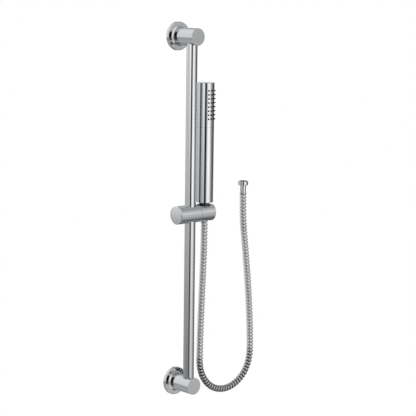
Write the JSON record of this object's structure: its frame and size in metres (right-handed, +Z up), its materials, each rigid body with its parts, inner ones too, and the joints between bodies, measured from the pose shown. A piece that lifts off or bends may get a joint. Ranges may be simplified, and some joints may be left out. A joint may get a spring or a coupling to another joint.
{
  "type": "handheld shower",
  "caption": "Slide-bar hand shower: round rail on two wall posts, sliding tilting holder, slim cylindrical hand shower with rubber nozzles, and a looped metal hose with its nut.",
  "frame": {"origin": "centre of the lower post's wall face, on the wall plane", "axes": "+X along the wall from the rail to the hand shower, +Y into the wall, +Z up along the rail"},
  "size_m": [0.1895, 0.0574, 0.6734],
  "materials": {
    "polished_chrome": "polished",
    "satin_chrome": "satin",
    "bracket_steel": "brushed",
    "yellow_brass": "machined",
    "hose_metal": "polished spiral",
    "black_nylon": "matte",
    "white_plastic": "matte",
    "nozzle_rubber": "matte",
    "seal_rubber": "matte"
  },
  "bodies": {
    "root": {"rail_tube": "polished_chrome", "lower_rail_plug": "black_nylon", "upper_rail_plug": "black_nylon", "lower_post": "polished_chrome", "upper_post": "polished_chrome", "lower_flange": "polished_chrome", "upper_flange": "polished_chrome", "lower_wall_bracket": "bracket_steel", "upper_wall_bracket": "bracket_steel", "lower_set_screw": "bracket_steel", "upper_set_screw": "bracket_steel"},
    "slide_bushes": {"lower_slide_bush": "black_nylon", "upper_slide_bush": "black_nylon"},
    "slider": {"slider_barrel": "satin_chrome", "slider_end_cap": "satin_chrome", "brake_pad": "black_nylon", "brake_spring": "bracket_steel", "swivel_washer": "black_nylon", "pivot_screw": "bracket_steel", "pivot_spring_washer": "bracket_steel", "hose": "hose_metal", "outlet_ferrule": "polished_chrome"},
    "holder": {"handset_holder": "satin_chrome", "socket_liner": "black_nylon", "handset_handle": "polished_chrome", "inlet_connector": "yellow_brass", "inlet_sieve": "bracket_steel", "water_tube": "white_plastic", "head_joint": "white_plastic", "head_seal_ring": "seal_rubber", "spray_head": "polished_chrome", "nozzle_strip": "nozzle_rubber", "spray_chamber": "white_plastic", "cone_nut": "black_nylon", "inlet_ferrule": "polished_chrome", "inlet_washer": "seal_rubber"},
    "hose_nut": {"outlet_nut": "polished_chrome", "outlet_washer": "seal_rubber"}
  },
  "joints": [
    {"name": "rail_slide", "type": "slide", "parent": "root", "child": "slide_bushes", "axis": [0, 0, 1], "range_m": [-0.268, 0.268]},
    {"name": "rail_swivel", "type": "hinge", "parent": "slide_bushes", "child": "slider", "pos_m": [0, -0.04, 0.31], "axis": [0, 0, 1], "range_deg": [-80, 12]},
    {"name": "holder_tilt", "type": "hinge", "parent": "slider", "child": "holder", "pos_m": [0.0332, -0.04, 0.31], "axis": [1, 0, 0], "range_deg": [-5, 45]},
    {"name": "nut_turn", "type": "hinge", "parent": "slider", "child": "hose_nut", "pos_m": [0.1264, -0.04, 0.355], "axis": [0, 0, 1], "continuous": true}
  ]
}
